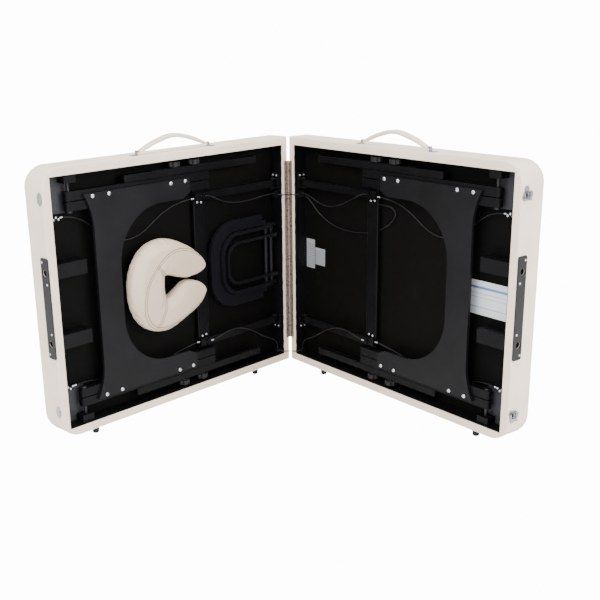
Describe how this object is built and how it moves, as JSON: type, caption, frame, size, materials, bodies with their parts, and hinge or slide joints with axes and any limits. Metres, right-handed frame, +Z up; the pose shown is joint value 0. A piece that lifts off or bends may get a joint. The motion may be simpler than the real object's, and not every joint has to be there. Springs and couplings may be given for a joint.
{
  "type": "portable massage table",
  "caption": "Folding two-part massage table standing on edge, part open, with folded legs, cable-linked braces, end-panel legs, face cradle and cushion stored inside.",
  "frame": {"origin": "on the floor under the middle of the bounding box", "axes": "+X across both halves to the right one, +Y from the open side of the V to the hinge, +Z up"},
  "size_m": [1.3596, 0.7675, 0.8225],
  "materials": {
    "black_wood": "satin black lacquer",
    "black_panel": "satin black lacquered plywood",
    "deck_board": "matt black board",
    "foam": "open-cell foam",
    "cream_vinyl": "soft grained vinyl",
    "cushion_vinyl": "soft grained vinyl, double stitched",
    "zinc_steel": "zinc plated",
    "black_plastic": "moulded",
    "black_rubber": "moulded rubber",
    "hinge_steel": "dull plated steel",
    "chrome_trim": "polished",
    "black_steel": "black zinc",
    "black_cable": "plastic-coated steel cable",
    "knob_plastic": "moulded",
    "cradle_black": "black lacquer and webbing"
  },
  "bodies": {
    "half_left": {"frame_rails_left": "black_wood", "deck_panel_left": "deck_board", "foam_pad_left": "foam", "vinyl_cover_left": "cream_vinyl", "frame_fasteners_left": "zinc_steel", "frame_blocks_left": "black_wood", "outlet_strip_left": "black_plastic", "rubber_feet_left": "black_rubber", "hinge_leaf_left": "hinge_steel", "handle_plates_left": "chrome_trim", "brace_brackets_left": "black_steel", "cable_outer_left": "black_cable", "cable_inner_left": "black_cable", "hinge_pin": "hinge_steel", "latch_keepers_left": "chrome_trim", "cable_crossing": "black_cable"},
    "half_right": {"frame_rails_right": "black_wood", "deck_panel_right": "deck_board", "foam_pad_right": "foam", "vinyl_cover_right": "cream_vinyl", "frame_fasteners_right": "zinc_steel", "frame_blocks_right": "black_wood", "outlet_strip_right": "black_plastic", "rubber_feet_right": "black_rubber", "hinge_leaf_right": "hinge_steel", "handle_plates_right": "chrome_trim", "brace_brackets_right": "black_steel", "cable_outer_right": "black_cable", "cable_inner_right": "black_cable", "latch_bases_right": "chrome_trim"},
    "leg_left": {"upper_legs_left": "black_wood", "end_panel_left": "black_panel", "panel_bolts_left": "zinc_steel"},
    "brace_left": {"brace_struts_left": "black_wood", "brace_crossbar_left": "black_wood"},
    "extension_top_left": {"extension_leg_top_left": "black_wood"},
    "knob_top_1_left": {"leg_knob_top_1_left": "knob_plastic"},
    "knob_top_2_left": {"leg_knob_top_2_left": "knob_plastic"},
    "extension_bottom_left": {"extension_leg_bottom_left": "black_wood"},
    "knob_bottom_1_left": {"leg_knob_bottom_1_left": "knob_plastic"},
    "knob_bottom_2_left": {"leg_knob_bottom_2_left": "knob_plastic"},
    "carry_handle_left": {"handle_left": "cream_vinyl"},
    "leg_right": {"upper_legs_right": "black_wood", "end_panel_right": "black_panel", "panel_bolts_right": "zinc_steel"},
    "brace_right": {"brace_struts_right": "black_wood", "brace_crossbar_right": "black_wood"},
    "extension_top_right": {"extension_leg_top_right": "black_wood"},
    "knob_top_1_right": {"leg_knob_top_1_right": "knob_plastic"},
    "knob_top_2_right": {"leg_knob_top_2_right": "knob_plastic"},
    "extension_bottom_right": {"extension_leg_bottom_right": "black_wood"},
    "knob_bottom_1_right": {"leg_knob_bottom_1_right": "knob_plastic"},
    "knob_bottom_2_right": {"leg_knob_bottom_2_right": "knob_plastic"},
    "carry_handle_right": {"handle_right": "cream_vinyl"},
    "latch_turn_top": {"latch_knob_top_right": "chrome_trim"},
    "latch_claw_top": {"latch_hook_top_right": "chrome_trim"},
    "latch_turn_bottom": {"latch_knob_bottom_right": "chrome_trim"},
    "latch_claw_bottom": {"latch_hook_bottom_right": "chrome_trim"},
    "cushion": {"face_cushion_left": "cushion_vinyl"},
    "cradle": {"face_cradle_left": "cradle_black"}
  },
  "joints": [
    {"name": "table_fold", "type": "hinge", "parent": "half_left", "child": "half_right", "pos_m": [0, 0.31525, 0.397], "axis": [0, 0, 1], "range_deg": [-82.48, 97.52], "deforming": ["cable_crossing"]},
    {"name": "leg_fold_left", "type": "hinge", "parent": "half_left", "child": "leg_left", "pos_m": [-0.56783, -0.29606, 0.397], "axis": [0, 0, -1], "range_deg": [0, 88]},
    {"name": "brace_fold_left", "type": "hinge", "parent": "half_left", "child": "brace_left", "pos_m": [-0.0527, 0.2923, 0.397], "axis": [0, 0, 1], "range_deg": [0, 62], "deforming": ["cable_outer_left", "cable_inner_left"]},
    {"name": "leg_height_top_left", "type": "slide", "parent": "leg_left", "child": "extension_top_left", "axis": [0.6592, 0.752, 0], "range_m": [-0.15, 0.075]},
    {"name": "knob_turn_top_1_left", "type": "hinge", "parent": "leg_left", "child": "knob_top_1_left", "pos_m": [-0.27382, 0.03931, 0.717], "axis": [0, 0, -1], "range_deg": [0, 180]},
    {"name": "knob_turn_top_2_left", "type": "hinge", "parent": "leg_left", "child": "knob_top_2_left", "pos_m": [-0.32392, -0.01784, 0.717], "axis": [0, 0, -1], "range_deg": [0, 180]},
    {"name": "leg_height_bottom_left", "type": "slide", "parent": "leg_left", "child": "extension_bottom_left", "axis": [0.6592, 0.752, 0], "range_m": [-0.15, 0.075]},
    {"name": "knob_turn_bottom_1_left", "type": "hinge", "parent": "leg_left", "child": "knob_bottom_1_left", "pos_m": [-0.27382, 0.03931, 0.077], "axis": [0, 0, 1], "range_deg": [0, 180]},
    {"name": "knob_turn_bottom_2_left", "type": "hinge", "parent": "leg_left", "child": "knob_bottom_2_left", "pos_m": [-0.32392, -0.01784, 0.077], "axis": [0, 0, 1], "range_deg": [0, 180]},
    {"name": "handle_swing_left", "type": "hinge", "parent": "half_left", "child": "carry_handle_left", "pos_m": [-0.32036, -0.02894, 0.7882], "axis": [-0.6592, -0.752, 0], "range_deg": [0, 75]},
    {"name": "leg_fold_right", "type": "hinge", "parent": "half_right", "child": "leg_right", "pos_m": [0.56783, -0.29606, 0.397], "axis": [0, 0, 1], "range_deg": [0, 88]},
    {"name": "brace_fold_right", "type": "hinge", "parent": "half_right", "child": "brace_right", "pos_m": [0.0527, 0.2923, 0.397], "axis": [0, 0, -1], "range_deg": [0, 62], "deforming": ["cable_outer_right", "cable_inner_right"]},
    {"name": "leg_height_top_right", "type": "slide", "parent": "leg_right", "child": "extension_top_right", "axis": [-0.6592, 0.752, 0], "range_m": [-0.15, 0.075]},
    {"name": "knob_turn_top_1_right", "type": "hinge", "parent": "leg_right", "child": "knob_top_1_right", "pos_m": [0.27382, 0.03931, 0.717], "axis": [0, 0, 1], "range_deg": [0, 180]},
    {"name": "knob_turn_top_2_right", "type": "hinge", "parent": "leg_right", "child": "knob_top_2_right", "pos_m": [0.32392, -0.01784, 0.717], "axis": [0, 0, 1], "range_deg": [0, 180]},
    {"name": "leg_height_bottom_right", "type": "slide", "parent": "leg_right", "child": "extension_bottom_right", "axis": [-0.6592, 0.752, 0], "range_m": [-0.15, 0.075]},
    {"name": "knob_turn_bottom_1_right", "type": "hinge", "parent": "leg_right", "child": "knob_bottom_1_right", "pos_m": [0.27382, 0.03931, 0.077], "axis": [0, 0, -1], "range_deg": [0, 180]},
    {"name": "knob_turn_bottom_2_right", "type": "hinge", "parent": "leg_right", "child": "knob_bottom_2_right", "pos_m": [0.32392, -0.01784, 0.077], "axis": [0, 0, -1], "range_deg": [0, 180]},
    {"name": "handle_swing_right", "type": "hinge", "parent": "half_right", "child": "carry_handle_right", "pos_m": [0.32036, -0.02894, 0.7882], "axis": [-0.6592, 0.752, 0], "range_deg": [0, 75]},
    {"name": "latch_turn_top", "type": "hinge", "parent": "half_right", "child": "latch_turn_top", "pos_m": [0.63047, -0.37813, 0.697], "axis": [0.6592, -0.752, 0], "range_deg": [0, 181]},
    {"name": "latch_reach_top", "type": "slide", "parent": "half_right", "child": "latch_claw_top", "axis": [-0.752, -0.6592, 0], "range_m": [0, 0.016]},
    {"name": "latch_turn_bottom", "type": "hinge", "parent": "half_right", "child": "latch_turn_bottom", "pos_m": [0.63047, -0.37813, 0.097], "axis": [0.6592, -0.752, 0], "range_deg": [0, 181]},
    {"name": "latch_reach_bottom", "type": "slide", "parent": "half_right", "child": "latch_claw_bottom", "axis": [-0.752, -0.6592, 0], "range_m": [0, 0.016]},
    {"name": "cushion_lift_out", "type": "slide", "parent": "leg_left", "child": "cushion", "axis": [0.752, -0.6592, 0], "range_m": [0, 0.15]},
    {"name": "cradle_lift_out", "type": "slide", "parent": "half_left", "child": "cradle", "axis": [0.752, -0.6592, 0], "range_m": [0, 0.15]}
  ],
  "couplings": [
    {"joint": "brace_fold_left", "follows": "leg_fold_left", "ratio": 0.7},
    {"joint": "brace_fold_right", "follows": "leg_fold_right", "ratio": 0.7},
    {"joint": "latch_turn_top", "follows": "latch_reach_top", "rad_per_m": 196.35},
    {"joint": "latch_turn_bottom", "follows": "latch_reach_bottom", "rad_per_m": 196.35}
  ]
}
